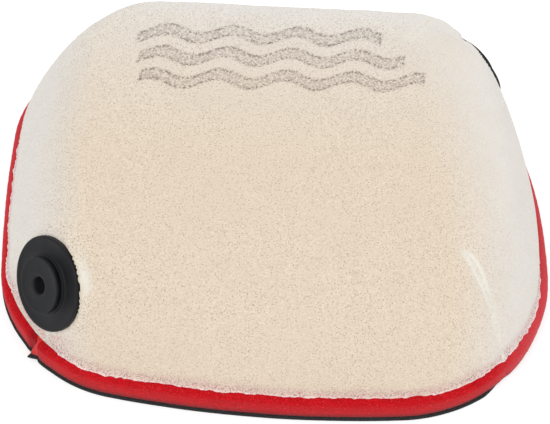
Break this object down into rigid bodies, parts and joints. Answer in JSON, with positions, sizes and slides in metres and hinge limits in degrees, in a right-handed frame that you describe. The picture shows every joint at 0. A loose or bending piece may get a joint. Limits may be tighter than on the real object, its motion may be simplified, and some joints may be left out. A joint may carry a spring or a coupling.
{
  "type": "air filter element",
  "caption": "Dual-stage foam air filter dome for a motorcycle: coarse outer foam over a fine inner foam, flanged base with a flat seal, and grommets for retaining pins.",
  "frame": {"origin": "centre of the outline's bounding box, on the plane that the seal rests on", "axes": "+X to the filter's right along its longest side, +Y to its rear, +Z away from the air box"},
  "size_m": [0.2788, 0.2213, 0.0663],
  "materials": {
    "outer_foam": "coarse open-cell foam, cream, matte",
    "inner_foam": "fine open-cell foam, red, matte",
    "flange_foam": "dense fine foam, red, matte",
    "seal_layer": "black sealing foam, matte",
    "adhesive": "flexible contact adhesive, off-white",
    "grommet": "moulded black plastic, satin"
  },
  "bodies": {
    "root": {"outer_foam": "outer_foam", "inner_foam": "inner_foam", "base_flange_front": "flange_foam", "base_flange_rear": "flange_foam", "base_seal_front": "seal_layer", "base_seal_rear": "seal_layer", "flange_bond": "adhesive", "flange_joint_left": "adhesive", "flange_joint_right": "adhesive", "outer_seam_front_right": "adhesive", "outer_seam_front_left": "adhesive", "outer_seam_rear_left": "adhesive", "outer_seam_rear_right": "adhesive", "inner_seam_front_right": "adhesive", "inner_seam_front_left": "adhesive", "inner_seam_rear_left": "adhesive", "inner_seam_rear_right": "adhesive", "front_grommet_disc": "grommet", "front_grommet_bush": "grommet", "front_grommet_washer": "grommet", "rear_grommet_disc": "grommet", "rear_grommet_bush": "grommet", "rear_grommet_washer": "grommet"}
  },
  "joints": []
}
